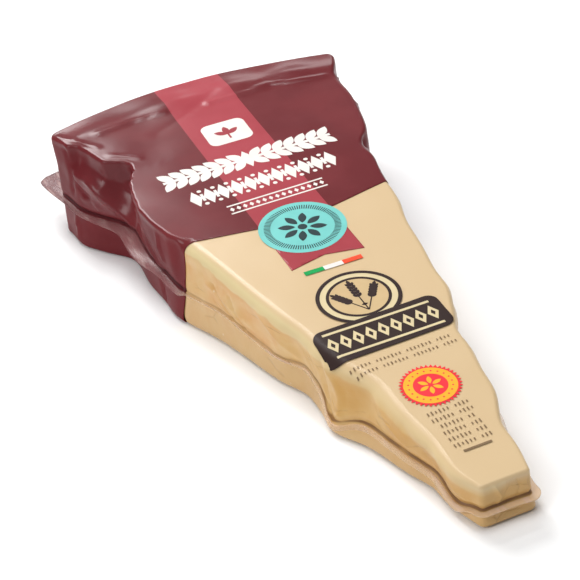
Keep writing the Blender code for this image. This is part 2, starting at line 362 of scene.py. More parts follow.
def top_surface(point):
    """Height of the film's top face over a point in plan."""
    rind_edge = RIND_LEFT.y + RIND_BULGE * (1 - (point.x / RIND_RIGHT.x) ** 2)
    behind_ridge = point.y - (rind_edge - RIDGE_FROM_RIND)
    height = base_top(point) + RIDGE_HEIGHT * math.exp(-(behind_ridge / RIDGE_WIDTH) ** 2)
    height -= RIDGE_FALL * max(behind_ridge, 0)
    if point.y > CRESTS_FROM:
        height += fold_rise(CRESTS, "top", point.x, point.y)
        for x, y, rise, reach in DIMPLES:
            away = ((point.x - x) ** 2 + (point.y - y) ** 2) / (reach * reach)
            height += rise * math.exp(-away)
    return height + waves((point.x, point.y, 0), TOP_WAVES)


def top_edge_radius(station):
    """The left edge is round where the cheese is bare, but crisp at the tip, as the others are."""
    printed = field_share(station.point)
    from_tip = smooth((station.point.y - TIP_LEFT.y) / SHARP_TIP_LENGTH)
    cut_edge = END_EDGE + (CUT_EDGE - END_EDGE) * from_tip
    side_edge = cut_edge + (FILM_EDGE - cut_edge) * printed
    if station.normal.x > 0:
        side_edge = END_EDGE + (RIGHT_EDGE - END_EDGE) * from_tip
    return side_edge * station.normal.x ** 2 + END_EDGE * station.normal.y ** 2


def crease_share(station):
    """The crease over the weld is full, but shallow along the bare left side away from the tip."""
    if station.side != "left":
        return 1
    bare = 1 - field_share(station.point)
    return 1 - SHALLOW_CREASE * bare * smooth((station.place - SHALLOW_FROM) / SHALLOW_REACH)


def wall_profile(station, sink):
    """Insets and heights up the wall at a station, from the flat base to the top face."""
    radius = top_edge_radius(station) - sink * SINK_AT_EDGE
    crease = CREASE_DEPTH * crease_share(station)
    top = top_surface(station.point)
    weld = weld_height(station)
    profile = []
    for step in range(BOTTOM_ARC_STEPS + 1):
        angle = math.pi / 2 * step / BOTTOM_ARC_STEPS
        profile.append((BOTTOM_EDGE * (1 - math.sin(angle)), BOTTOM_EDGE * (1 - math.cos(angle))))
    for step in range(1, LOWER_WALL_STEPS + 1):
        share = step / LOWER_WALL_STEPS
        profile.append((0, BOTTOM_EDGE + (weld - BOTTOM_EDGE) * share))
    for step in range(CREASE_STEPS):
        share = (step + 0.5) / CREASE_STEPS
        height = weld + CREASE_HEIGHT * (0.1 + 0.9 * share)
        profile.append((crease * (1 - share) ** CREASE_CURVE, height))
    crease_top = weld + CREASE_HEIGHT
    for step in range(UPPER_WALL_STEPS + 1):
        share = step / UPPER_WALL_STEPS
        profile.append((0, crease_top + (top - radius - crease_top) * share))
    for step in range(1, TOP_ARC_STEPS + 1):
        angle = math.pi / 2 * step / TOP_ARC_STEPS
        profile.append((radius * (1 - math.cos(angle)), top - radius * (1 - math.sin(angle))))
    return profile


def wall_column(station, relief, inset):
    """Points up the wall at one station, with a relief of their own and set in by inset.

    The relief fades towards the top and bottom edges, and the top edge follows the top face.
    """
    top = top_surface(station.point)
    sink = inset(station.point)
    column = []
    for drawn_in, height in wall_profile(station, sink):
        level = height / top
        out = wall_offset(station, level) - drawn_in - sink
        plan = station.point + station.normal * out
        calm = smooth(height / CALM_BY_EDGE) * smooth((top - height) / CALM_BY_EDGE)
        out += relief(station, height, plan) * calm
        plan = station.point + station.normal * out
        column.append(Vector((plan.x, plan.y, height)))
    for point in column[-TOP_ARC_STEPS - 1:]:
        point.z += top_surface(point) - top
    for point in column:
        point.z += sink * (1 - 2 * smooth(point.z / top))
    return column


def patch_sides(ring):
    """Splits a ring into the four sides of a patch: left, rind, right and tip, each start to end."""
    sides = []
    names = [station.side for station in STATIONS]
    for name in ("left", "rind", "right", "tip"):
        start = names.index(name)
        count = names.count(name)
        sides.append([ring[(start + step) % len(ring)] for step in range(count + 1)])
    left, rind, right, tip = sides
    return left, rind, right[::-1], tip[::-1]


def length_shares(points):
    """How far along a line each of its points lies, from 0 at the first to 1 at the last."""
    lengths = [0]
    for before, after in zip(points, points[1:]):
        lengths.append(lengths[-1] + (after - before).length)
    return [length / lengths[-1] for length in lengths]


def fill_patch(mesh, ring, height):
    """Fills a ring with a grid blended from its four sides, at the height of a surface."""
    sides = patch_sides(ring)
    points = [[vertex.co.copy() for vertex in side] for side in sides]
    left_shares, rind_shares, right_shares, tip_shares = map(length_shares, points)
    left, rind, right, tip = points
    rows = [sides[3]]
    for row in range(1, len(left) - 1):
        up = (left_shares[row] + right_shares[row]) / 2
        vertices = [sides[0][row]]
        for column in range(1, len(tip) - 1):
            across = tip_shares[column] * (1 - up) + rind_shares[column] * up
            straight = left[row].lerp(right[row], across) + tip[column].lerp(rind[column], up)
            corners = tip[0].lerp(tip[-1], across).lerp(rind[0].lerp(rind[-1], across), up)
            point = straight - corners
            point.z = height(point)
            vertices.append(mesh.verts.new(point))
        vertices.append(sides[2][row])
        rows.append(vertices)
    rows.append(sides[1])
    for lower, upper in zip(rows, rows[1:]):
        for step in range(len(lower) - 1):
            mesh.faces.new((lower[step], lower[step + 1], upper[step + 1], upper[step]))


def wedge_skin(relief, inset):
    """A closed wedge with the pack's main shape, in millimetres from the badge."""
    mesh = bmesh.new()
    columns = []
    for station in STATIONS:
        columns.append([mesh.verts.new(point) for point in wall_column(station, relief, inset)])
    rings = list(zip(*columns))
    for lower, upper in zip(rings, rings[1:]):
        for step in range(len(lower)):
            follow = (step + 1) % len(lower)
            mesh.faces.new((lower[step], lower[follow], upper[follow], upper[step]))
    fill_patch(mesh, rings[-1], lambda point: top_surface(point) - inset(point))
    fill_patch(mesh, rings[0], inset)
    bmesh.ops.recalc_face_normals(mesh, faces=mesh.faces)
    return mesh


def put_in_scene(name, data):
    """An object of some data, linked into the scene."""
    thing = bpy.data.objects.new(name, data)
    bpy.context.scene.collection.objects.link(thing)
    return thing


def make_piece(name, mesh, materials, slot, *replaced):
    """Makes a piece of a mesh in millimetres from the badge, riding on the pack."""
    bmesh.ops.translate(mesh, verts=mesh.verts, vec=BADGE)
    bmesh.ops.scale(mesh, verts=mesh.verts, vec=(MM, MM, MM))
    data = bpy.data.meshes.new(name)
    mesh.to_mesh(data)
    mesh.free()
    data.shade_smooth()
    for material in materials:
        data.materials.append(material)
    piece = put_in_scene(name, data)
    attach(piece, "root")
    if replaced:
        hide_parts(*replaced)
    return piece


class Shade:
    """A socket of a material. Operators on it add Math nodes, and add() makes any other node."""

    def __init__(self, tree, socket=None):
        self.tree = tree
        self.socket = socket

    def add(self, kind, settings, inputs, output=0):
        node = self.tree.nodes.new("ShaderNode" + kind)
        for name, value in settings.items():
            setattr(node, name, value)
        for name, value in inputs.items():
            if isinstance(value, Shade):
                self.tree.links.new(value.socket, node.inputs[name])
            else:
                node.inputs[name].default_value = value
        return Shade(self.tree, node.outputs[output])

    def maths(self, operation, *terms):
        return self.add("Math", {"operation": operation}, dict(enumerate(terms)))

    def __add__(self, other):
        return self.maths("ADD", self, other)

    def __radd__(self, other):
        return self.maths("ADD", other, self)

    def __sub__(self, other):
        return self.maths("SUBTRACT", self, other)

    def __rsub__(self, other):
        return self.maths("SUBTRACT", other, self)

    def __mul__(self, other):
        return self.maths("MULTIPLY", self, other)

    def __rmul__(self, other):
        return self.maths("MULTIPLY", other, self)

    def __truediv__(self, other):
        return self.maths("DIVIDE", self, other)

    def __abs__(self):
        return self.maths("ABSOLUTE", self)

    def __lt__(self, other):
        return self.maths("LESS_THAN", self, other)

    def __gt__(self, other):
        return self.maths("GREATER_THAN", self, other)

    def ease(self, low, high):
        """Goes smoothly from 0 to 1 as the value goes from low to high."""
        settings = {"interpolation_type": "SMOOTHSTEP"}
        return self.add("MapRange", settings, {"Value": self, "From Min": low, "From Max": high})

    def bump(self, distance):
        """The surface normal that follows this height, given in millimetres."""
        return self.add("Bump", {}, {"Height": self, "Distance": distance * MM})

    def mix(self, first, second):
        """Blends two colours, from the first at 0 to the second at 1."""
        return self.add("Mix", {"data_type": "RGBA"}, {0: self, 6: first, 7: second}, 2)


def new_finish(name):
    """A new material: its Principled shader, its place on the pack in mm and x, y and z of that."""
    material = bpy.data.materials.new(name)
    material.use_nodes = True
    tree = material.node_tree
    start = Shade(tree)
    place = start.add("TexCoord", {}, {}, "Object")
    shift = start.add("VectorMath", {"operation": "SCALE"}, {0: place, "Scale": 1 / MM})
    place = start.add("VectorMath", {"operation": "SUBTRACT"}, {0: shift, 1: tuple(BADGE)})
    axes = [start.add("SeparateXYZ", {}, {0: place}, axis) for axis in "XYZ"]
    return material, tree.nodes["Principled BSDF"], place, axes


def set_finish(shader, values):
    """Sets or links the sockets of a Principled shader."""
    for name, value in values.items():
        if isinstance(value, Shade):
            value.tree.links.new(value.socket, shader.inputs[name])
        else:
            shader.inputs[name].default_value = value


def stretched(place, scale):
    """The place with each axis scaled on its own, for a grain that runs one way."""
    return place.add("VectorMath", {"operation": "MULTIPLY"}, {0: place, 1: scale})


def cells(place, spacing, feature, output):
    """A distance or a colour of even cells, so many millimetres apart."""
    inputs = {"Vector": place, "Scale": 1 / spacing, "Randomness": 1.0}
    return place.add("TexVoronoi", {"feature": feature}, inputs, output)


def grain(place, size, detail=3.0, warp=0.0):
    """Even noise from 0 to 1 with grains of a size in millimetres."""
    inputs = {"Vector": place, "Scale": 1 / size, "Detail": detail, "Distortion": warp}
    return place.add("TexNoise", {}, inputs)


CHEESE_TOP = (0.616, 0.432, 0.230, 1)
CHEESE_TOP_LIGHT = (0.654, 0.487, 0.280, 1)
CHEESE_SIDE = (0.650, 0.405, 0.150, 1)
CHEESE_SIDE_ORANGE = (0.650, 0.350, 0.115, 1)
CHEESE_SIDE_PALE = (0.740, 0.560, 0.290, 1)
CHEESE_SIDE_NEAR_TIP = (0.560, 0.310, 0.085, 1)
CHEESE_FOOT = (0.640, 0.430, 0.210, 1)
# Painted shade for the crease over the weld; also the colour of the cracks
CREASE_SHADE_AND_CRACK_BROWN = (0.240, 0.110, 0.035, 1)
# Painted shade for the tip face: darker, and a little browner
CHEESE_TIP_SHADE = (0.600, 0.370, 0.140, 1)
CRYSTAL = (0.860, 0.780, 0.600, 1)
# Painted highlight for the rounded left top edge
EDGE_HIGHLIGHT_PAINT = (0.710, 0.625, 0.345, 1)

# Sizes of the mottling, the patches of painted crease shade, the crystals, the cracks and the relief,
# and the share of places that hold no crystal
TOP_PATCH = 30
SIDE_PATCH = 13
FLECK = 4.5
PALE_PATCH = 7
CREASE_SHADE_PATCH = 14
CRYSTAL_SPACING = 3.6
NO_CRYSTAL = 0.86
CRACK_SPACING = 7.5
CRACK_PATCH = 9
GRIT = 1.6
LUMP = 7

# The cut side starts and is full at these depths under the top face. A painted highlight runs along
# its left edge down to a ragged line, and the cheese is browner towards the tip, from one place to
# another.
CUT_DEPTHS = (0.6, 3.4)
HIGHLIGHT_DEPTHS = (0.1, 1.0)
RAGGED_DEPTHS = (3.4, 4.0)
NEAR_TIP = (-60, -20)


def weld_line(x, y):
    """Height of the weld line at a place, for a finish that changes there, and 1 on the left half."""
    on_left = x < 0
    height = WELD_TIP + WELD_RISE * (y - TIP_LEFT.y)
    for wave in WELD_WAVES:
        along = (y - wave.place) / wave.reach
        height = height + on_left * wave.rise * along.maths("EXPONENT", 0 - along * along)
    return height, on_left


def cheese_finish():
    """Straw-coloured cheese under clinging clear film, mottled and crystalled where it is cut."""
    material, shader, place, (x, y, z) = new_finish("hard_cheese_under_clear_film")
    depth = BADGE_HEIGHT + TOP_SLOPE * y - z
    cut = depth.ease(*CUT_DEPTHS)
    patches = grain(place, SIDE_PATCH, 2, 0.3).ease(0.36, 0.66)
    flecks = grain(stretched(place, (1, 0.6, 1.4)), FLECK, 3, 0.3).ease(0.42, 0.70)
    pale = grain(place, PALE_PATCH, 2, 0.6).ease(0.48, 0.68)
    side = patches.mix(CHEESE_SIDE, CHEESE_SIDE_ORANGE)
    near_tip = 1 - y.ease(*NEAR_TIP)
    side = (flecks * (0.25 + near_tip * 0.15)).mix(side, CHEESE_SIDE_PALE)
    side = (pale * 0.30).mix(side, CHEESE_SIDE_PALE)
    side = (near_tip * (0.48 + patches * 0.42)).mix(side, CHEESE_SIDE_NEAR_TIP)

    weld, on_left = weld_line(x, y)
    below_weld = 1 - (z - weld).ease(-0.4, 0.4)
    side = (below_weld * 0.6).mix(side, CHEESE_FOOT)
    top = grain(place, TOP_PATCH, 2).mix(CHEESE_TOP, CHEESE_TOP_LIGHT)
    colour = cut.mix(top, side)

    # Painted highlight: a pale band down the rounded left top edge to a ragged line, fainter towards
    # the tip
    ragged = depth + grain(place, PALE_PATCH, 2) * 2.4
    painted_edge_highlight = depth.ease(*HIGHLIGHT_DEPTHS) * (1 - ragged.ease(*RAGGED_DEPTHS)) * on_left
    colour = (painted_edge_highlight * (0.55 - near_tip * 0.35)).mix(colour, EDGE_HIGHLIGHT_PAINT)
    # Painted shade: the tip face is painted darker, as it is turned from the light
    shaded_tip_face = (1 - y.ease(TIP_LEFT.y + 0.4, TIP_LEFT.y + 3)) * cut
    colour = (shaded_tip_face * 0.75).mix(colour, CHEESE_TIP_SHADE)
    # Painted shade: the crease over the weld is darkened in patches, less where the crease is shallow
    crease = (1 - abs(z - weld - 0.3).ease(0.08, 0.35)) * cut
    crease_shade_strength = 1 - on_left * y.ease(SHALLOW_FROM, SHALLOW_FROM + SHALLOW_REACH) * SHALLOW_CREASE
    colour = (crease * crease_shade_strength * grain(place, CREASE_SHADE_PATCH, 2).ease(0.25, 0.50)).mix(colour, CREASE_SHADE_AND_CRACK_BROWN)

    near = cells(place, CRYSTAL_SPACING, "F1", "Distance")
    chance = cells(place, CRYSTAL_SPACING, "F1", "Color")
    chosen = place.add("SeparateColor", {}, {0: chance}, 0) > NO_CRYSTAL
    crystals = (1 - near.ease(0.06, 0.2)) * chosen * depth.ease(2.2, 3.2)
    colour = crystals.mix(colour, CRYSTAL)
    lengthwise = stretched(place, (1, 0.45, 1.2))
    cracks = cells(lengthwise, CRACK_SPACING, "DISTANCE_TO_EDGE", "Distance")
    lines = (1 - cracks.ease(0.0, 0.035)) * grain(place, CRACK_PATCH, 2).ease(0.5, 0.6) * cut
    colour = (lines * 0.16).mix(colour, CREASE_SHADE_AND_CRACK_BROWN)

    relief = grain(place, GRIT, 4) * cut * 0.6 + crystals * 0.5 - lines * 0.6
    relief = relief + grain(place, LUMP, 3) * 0.5
    set_finish(shader, {
        "Base Color": colour,
        "Roughness": 0.34,
        "Specular IOR Level": 0.32,
        "Normal": relief.bump(0.14),
        "Coat Weight": 0.13,
        "Coat Roughness": 0.27,
    })
    return material


def cut_relief(station, height, plan):
    """Relief of the cut cheese: breaks and unevenness."""
    rise = fold_rise(BREAKS, station.side, station.place, height)
    return rise + waves((plan.x, plan.y, height), CUT_ROUGHNESS)


def cheese_inset(point):
    """How far the cheese lies inside the outer film."""
    return UNDER_CLEAR_FILM + (UNDER_PRINTED_FILM - UNDER_CLEAR_FILM) * field_share(point)


cheese_mesh = wedge_skin(cut_relief, cheese_inset)
make_piece("cheese_wedge", cheese_mesh, [cheese_finish()], "cheese", "sealed_wedge")


# The printed film
# Glossy barrier film, printed in dark maroon with a lighter stripe down the middle. Vacuum draws it
# tight over the rind half of the cheese, above and below, so it creases at every hollow.

# The field, the stripe's half width, its ends and its tail, in badge radii
FIELD_REACH = 4.6
STRIPE = 0.87
STRIPE_FROM = -1.6
STRIPE_TO = 8
TAIL_CORNER = -1.40
TAIL_NOTCH = -1.20

TOP_FACE_ABOVE = 14
FILM_THICKNESS = 0.1
LEDGE_FOLD = (
    (59.5, 22.7), (56.5, 21.8), (54, 20.2), (51.8, 18.6), (49.6, 17), (45.7, 15), (42.4, 12.5),
)
FILM_FOLDS = (
    Fold("left", LEDGE_FOLD, 0.9, 3.4),
    Fold("left", ((61, 18), (57, 15.8), (55, 14)), -0.6, 2.0),
    Fold("left", ((58.5, 14.3), (55.5, 14.6), (53, 13)), 0.6, 1.4),
    Fold("left", ((48.4, 22), (47.2, 19.2), (43, 17.8), (37.6, 17)), 0.7, 1.8),
    Fold("left", ((45, 21.5), (42, 19.5), (34, 20.6)), -0.7, 1.8),
    Fold("left", ((36, 22), (30, 17.5), (25.6, 13.0), (20.5, 9.5)), 0.5, 1.6),
    Fold("left", ((32, 20.5), (26, 16), (22, 12)), -0.3, 2.0),
    Fold("left", ((18.4, 20.0), (18.2, 17.7), (17.6, 13.5)), 0.6, 1.2),
    Fold("left", ((64.4, 26), (62.5, 20), (63.5, 15)), -0.6, 2.0),
    Fold("left", ((63, 7), (62, 4.5), (62.5, 2)), 0.7, 2.0),
    Fold("left", ((46, 9), (42, 6), (40, 3)), 0.4, 2.6),
    Fold("left", ((24, 8), (21, 4.5), (19, 1)), -0.6, 2.0),
    Fold("right", ((60, 26), (56, 20), (50, 14)), 0.8, 2.4),
    Fold("right", ((30, 24), (26, 19), (27, 13)), -0.9, 2.2),
    Fold("right", ((24, 23), (21, 17), (24, 12)), 0.8, 1.8),
    Fold("right", ((46, 25), (42, 19), (44, 13)), 0.6, 1.8),
    Fold("right", ((14, 20), (12, 15), (16, 10)), 0.5, 1.8),
    Fold("rind", ((-34, 27), (-31, 20), (-33, 13)), 0.7, 2.4),
    Fold("rind", ((-18, 28), (-16, 21), (-20, 14)), 0.5, 2.6),
    Fold("rind", ((2, 28), (0, 20), (4, 13)), 0.6, 2.4),
    Fold("rind", ((17, 28), (21, 20), (18, 13)), -0.5, 2.4),
    Fold("rind", ((33, 27), (30, 20), (34, 13)), 0.7, 2.4),
    Fold("rind", ((-25, 9), (-24, 4), (-27, 1)), 0.5, 2.2),
    Fold("rind", ((24, 9), (26, 4), (24, 1)), 0.5, 2.2),
)
FILM_RIPPLES = ((0.30, 9.0), (0.05, 3.5))
INK_PATCH = 16
FILM_PUCKER = 9
FILM_GRAIN = 1.4

MAROON = (0.142, 0.019, 0.023, 1)
MAROON_LIGHT = (0.172, 0.026, 0.030, 1)
# Painted shade for the crease over the weld
MAROON_CREASE_SHADE = (0.050, 0.006, 0.008, 1)
STRIPE_RED = (0.370, 0.050, 0.064, 1)
STRIPE_LIGHT = (0.400, 0.058, 0.074, 1)

# Where the film is stretched into the hollow beside the left corner: from a place, to a place and
# above a height, each with a soft start and end
HOLLOW_FRONT = (37, 42)
HOLLOW_BACK = (56, 60)
HOLLOW_FLOOR = (11, 13)


def film_relief(station, height, plan):
    """Relief of the tight film: sharp folds and soft ripples."""
    rise = fold_rise(FILM_FOLDS, station.side, station.place, height)
    return rise + waves((plan.x, plan.y, height), FILM_RIPPLES)


def printed_film_finish(name, dark, light):
    """Glossy printed film with a slight change of ink density and fine creases.

    It shines most on top and where it is stretched in, and has painted shade in the crease over the
    weld.
    """
    material, shader, place, (x, y, z) = new_finish(name)
    colour = grain(place, INK_PATCH, 3).ease(0.35, 0.65).mix(dark, light)
    weld, on_left = weld_line(x, y)
    # Painted shade: the film is darkened along the crease over the weld
    crease = 1 - abs(z - weld - 0.5).ease(0.15, 0.9)
    colour = (crease * 0.8).mix(colour, MAROON_CREASE_SHADE)
    creases = grain(place, FILM_PUCKER, 1.5) + grain(place, FILM_GRAIN, 2) * 0.03
    on_top = (z - y * TOP_SLOPE).ease(BADGE_HEIGHT - 2.5, BADGE_HEIGHT - 0.5)
    stretched_in = on_left * y.ease(*HOLLOW_FRONT) * (1 - y.ease(*HOLLOW_BACK))
    stretched_in = stretched_in * z.ease(*HOLLOW_FLOOR) * (1 - on_top)
    set_finish(shader, {
        "Base Color": colour,
        "Roughness": 0.30,
        "Specular IOR Level": 0.02,
        "Normal": creases.bump(0.14),
        "Coat Weight": 0.10 + on_top * 0.31 + stretched_in * 0.32,
        "Coat Roughness": 0.20,
    })
    return material


def field_edge(x):
    """Where the printed field begins along the pack, in badge radii, at a place across it."""
    return FIELD_START + FIELD_SLOPE * abs(x)


def is_printed(point):
    """Whether the film is printed at a point: the field, and the stripe's tail on the top face."""
    x = point.x / BADGE_RADIUS
    y = point.y / BADGE_RADIUS
    if y > field_edge(x):
        return True
    tail = TAIL_NOTCH + (TAIL_CORNER - TAIL_NOTCH) * abs(x) / STRIPE
    return point.z > TOP_FACE_ABOVE and abs(x) < STRIPE and y > tail


def cut_along(mesh, start, end):
    """Cuts a mesh along the upright plane through two points in plan, given in badge radii."""
    start = Vector((*start, 0)) * BADGE_RADIUS
    end = Vector((*end, 0)) * BADGE_RADIUS
    across = Vector((start.y - end.y, end.x - start.x, 0)).normalized()
    along = (end - start).normalized()
    length = (end - start).length
    faces = []
    for face in mesh.faces:
        place = (face.calc_center_median() - start).dot(along)
        if -1 < place < length + 1:
            faces.append(face)
    edges = {edge for face in faces for edge in face.edges}
    corners = {vertex for face in faces for vertex in face.verts}
    geometry = list(corners) + list(edges) + faces
    bmesh.ops.bisect_plane(mesh, geom=geometry, plane_co=start, plane_no=across, dist=0.01)


def thicken(piece, thickness):
    """Gives a sheet of film its thickness in millimetres, inwards."""
    body = piece.modifiers.new("film thickness", "SOLIDIFY")
    body.thickness = thickness * MM
    body.offset = -1


film_mesh = wedge_skin(film_relief, lambda point: 0)
for side in (-1, 1):
    cut_along(film_mesh, (0, FIELD_START), (side * FIELD_REACH, field_edge(FIELD_REACH)))
    cut_along(film_mesh, (side * STRIPE, STRIPE_FROM), (side * STRIPE, STRIPE_TO))
    cut_along(film_mesh, (0, TAIL_NOTCH), (side * STRIPE, TAIL_CORNER))
bare = []
for face in film_mesh.faces:
    middle = face.calc_center_median()
    face.material_index = 1 if abs(middle.x) < STRIPE * BADGE_RADIUS else 0
    if not is_printed(middle):
        bare.append(face)
bmesh.ops.delete(film_mesh, geom=bare, context="FACES")
film_looks = [
    printed_film_finish("maroon_film", MAROON, MAROON_LIGHT),
    printed_film_finish("red_stripe_film", STRIPE_RED, STRIPE_LIGHT),
]
printed_film = make_piece("printed_film", film_mesh, film_looks, "printed_film", "sealed_wedge")
thicken(printed_film, FILM_THICKNESS)


# The print
# Flat ink on the film: a white panel and ornament, the round turquoise badge, a small tricolour, a
# dark roundel and banner, and a yellow seal. Each is a thin layer laid on the film, ink on ink.

# Print is drawn in badge radii from the badge, and is foreshortened along the sloping top
PRINT_SCALE = BADGE_RADIUS * math.cos(math.atan(TOP_SLOPE))
INK_STEP = 1.5
INK_FADE = 0.93
FADED_PATCH = 5
FIRST_LIFT = 0.03
LAYER_LIFT = 0.02

# The film under a place is looked for from above. Where that misses the top face, or meets it too far
# down its edge, the place is drawn in towards the middle step by step.
ABOVE_PACK = 60
TOP_FALL = 2.5
LEAST_SHRINK = 0.8
SHRINK_STEP = 0.0025

skin = wedge_skin(lambda station, height, plan: 0, lambda point: 0)
skin_tree = BVHTree.FromBMesh(skin)
skin.free()


def on_film(x, y, lift):
    """The point on the film over a place in plan, lifted off it.

    A place past the top's edge lies down the wall, as far as it is past the edge.
    """
    shrink = 1.0
    while shrink > LEAST_SHRINK:
        start = Vector((x * shrink, y, ABOVE_PACK))
        place, normal, index, distance = skin_tree.ray_cast(start, Vector((0, 0, -1)))
        if place is not None and place.z > base_top(place) - TOP_FALL:
            past_edge = abs(x) * (1 - shrink)
            if past_edge > 0:
                below = place - Vector((0, 0, past_edge))
                place, normal, index, distance = skin_tree.find_nearest(below)
            return place + normal * lift
        shrink -= SHRINK_STEP
    return Vector((x, y, base_top(Vector((x, y))) + lift))


def turns(count, first=0):
    """Angles spread evenly round a circle."""
    return [2 * math.pi * (step + first) / count for step in range(count)]


def point_round(middle, radius, angle):
    """The point at a radius and an angle from a middle."""
    return middle[0] + radius * math.cos(angle), middle[1] + radius * math.sin(angle)


def disc(middle, radius, corners=72):
    """A round shape."""
    return [[point_round(middle, radius, angle) for angle in turns(corners)]]


def ring(middle, outer, inner, corners=72):
    """A round band, as a row of four-cornered pieces."""
    shapes = []
    outside = disc(middle, outer, corners)[0]
    inside = disc(middle, inner, corners)[0]
    for step in range(corners):
        follow = (step + 1) % corners
        shapes.append([outside[step], outside[follow], inside[follow], inside[step]])
    return shapes


def turned(points, middle, angle):
    """Points drawn round the origin, turned by an angle and moved to a middle."""
    cosine = math.cos(angle)
    sine = math.sin(angle)
    return [(middle[0] + x * cosine - y * sine, middle[1] + x * sine + y * cosine) for x, y in points]


def bar(middle, length, width, angle=0.0):
    """A straight bar."""
    x = length / 2
    y = width / 2
    return [turned([(-x, -y), (x, -y), (x, y), (-x, y)], middle, angle)]


def lozenge(middle, length, width, angle=0.0):
    """A diamond."""
    x = length / 2
    y = width / 2
    return [turned([(-x, 0), (0, -y), (x, 0), (0, y)], middle, angle)]


def leaf(stem, length, width, angle, steps=8):
    """A pointed leaf that starts at its stem."""
    points = []
    for step in range(steps + 1):
        share = step / steps
        points.append((length * share, -width / 2 * math.sin(math.pi * share) ** 0.8))
    for step in range(steps - 1, 0, -1):
        share = step / steps
        points.append((length * share, width / 2 * math.sin(math.pi * share) ** 0.8))
    return [turned(points, stem, angle)]


def rounded_panel(left, right, bottom, top, radius):
    """A panel with round corners."""
    points = []
    corners = ((right, top, 0), (left, top, 90), (left, bottom, 180), (right, bottom, 270))
    for x, y, start in corners:
        middle_x = x - math.copysign(radius, x - (left + right) / 2)
        middle_y = y - math.copysign(radius, y - (bottom + top) / 2)
        for step in range(7):
            angle = math.radians(start + 15 * step)
            points.append(point_round((middle_x, middle_y), radius, angle))
    return [points]


def ink_finish(name, colour):
    """Flat ink under the film's gloss, with a faint change of density."""
    material, shader, place = new_finish(name)[:3]
    faded = tuple(channel * INK_FADE for channel in colour[:3]) + (1,)
    set_finish(shader, {
        "Base Color": grain(place, FADED_PATCH, 3).ease(0.3, 0.7).mix(faded, colour),
        "Roughness": 0.34,
        "Specular IOR Level": 0.08,
        "Normal": grain(place, FILM_PUCKER, 1.5).bump(0.1),
    })
    return material


def lay_ink(name, layers, lowest=0, cut_size=INK_STEP):
    """Lays shapes on the film, one layer over another. A layer is its finish and its shapes.

    Shapes are cut into squares first, so that they follow the film. Each layer lies a little higher.
    """
    mesh = bmesh.new()
    finishes = []
    for index, (finish, shapes) in enumerate(layers):
        if finish not in finishes:
            finishes.append(finish)
        layer = bmesh.new()
        for points in shapes:
            corners = [layer.verts.new((x * BADGE_RADIUS, y * PRINT_SCALE, 0)) for x, y in points]
            layer.faces.new(corners)
        for axis in (Vector((1, 0, 0)), Vector((0, 1, 0))):
            places = [vertex.co.dot(axis) for vertex in layer.verts]
            line = math.floor(min(places) / cut_size) * cut_size
            while line < max(places):
                geometry = layer.verts[:] + layer.edges[:] + layer.faces[:]
                plane = {"plane_co": axis * line, "plane_no": axis}
                bmesh.ops.bisect_plane(layer, geom=geometry, dist=1e-4, **plane)
                line += cut_size
        bmesh.ops.triangulate(layer, faces=layer.faces[:])
        lift = FIRST_LIFT + LAYER_LIFT * (lowest + index)
        moved = {}
        for vertex in layer.verts:
            moved[vertex] = mesh.verts.new(on_film(vertex.co.x, vertex.co.y, lift))
        for face in layer.faces:
            laid = mesh.faces.new([moved[vertex] for vertex in face.verts])
            laid.normal_update()
            if laid.normal.z < 0:
                laid.normal_flip()
            laid.material_index = finishes.index(finish)
        layer.free()
    make_piece(name, mesh, finishes, "printed_film", "sealed_wedge")


def mark_row(middle, length, height, pitch=0.085):
    """A row of small upright marks, with a gap after every few."""
    shapes = []
    count = int(length / pitch)
    for step in range(count):
        if step % 8 != 6:
            x = middle[0] + (step + 0.5 - count / 2) * pitch
            tall = height * (0.75 + 0.25 * math.sin(step * 2.4))
            shapes += bar((x, middle[1] + 0.012 * x), pitch * 0.34, tall)
    return shapes


white_ink = ink_finish("white_ink", (0.86, 0.81, 0.76, 1))
turquoise_ink = ink_finish("turquoise_ink", (0.19, 0.60, 0.56, 1))
slate_ink = ink_finish("slate_ink", (0.030, 0.050, 0.056, 1))
dark_ink = ink_finish("dark_brown_ink", (0.040, 0.024, 0.022, 1))
cream_ink = ink_finish("cream_ink", (0.72, 0.60, 0.36, 1))
tan_ink = ink_finish("tan_ink", (0.62, 0.45, 0.24, 1))
green_ink = ink_finish("green_ink", (0.01, 0.36, 0.09, 1))
orange_ink = ink_finish("orange_ink", (0.88, 0.085, 0.035, 1))
yellow_ink = ink_finish("yellow_ink", (0.91, 0.45, 0.040, 1))
red_ink = ink_finish("red_ink", (0.86, 0.045, 0.060, 1))
brown_ink = ink_finish("brown_ink", (0.24, 0.16, 0.09, 1))

PANEL_MIDDLE = (0.02, 4.66)
panel = [turned(rounded_panel(-0.56, 0.56, -0.50, 0.50, 0.2)[0], PANEL_MIDDLE, -0.02)]
sprout = bar((PANEL_MIDDLE[0], 4.50), 0.30, 0.05, math.pi / 2)
for lean in (-1.0, 0, 1.0):
    sprout += leaf((PANEL_MIDDLE[0], 4.56), 0.36, 0.17, math.pi / 2 + lean)
lay_ink("white_panel", [(white_ink, panel), (ink_finish("panel_mark_ink", STRIPE_RED), sprout)])

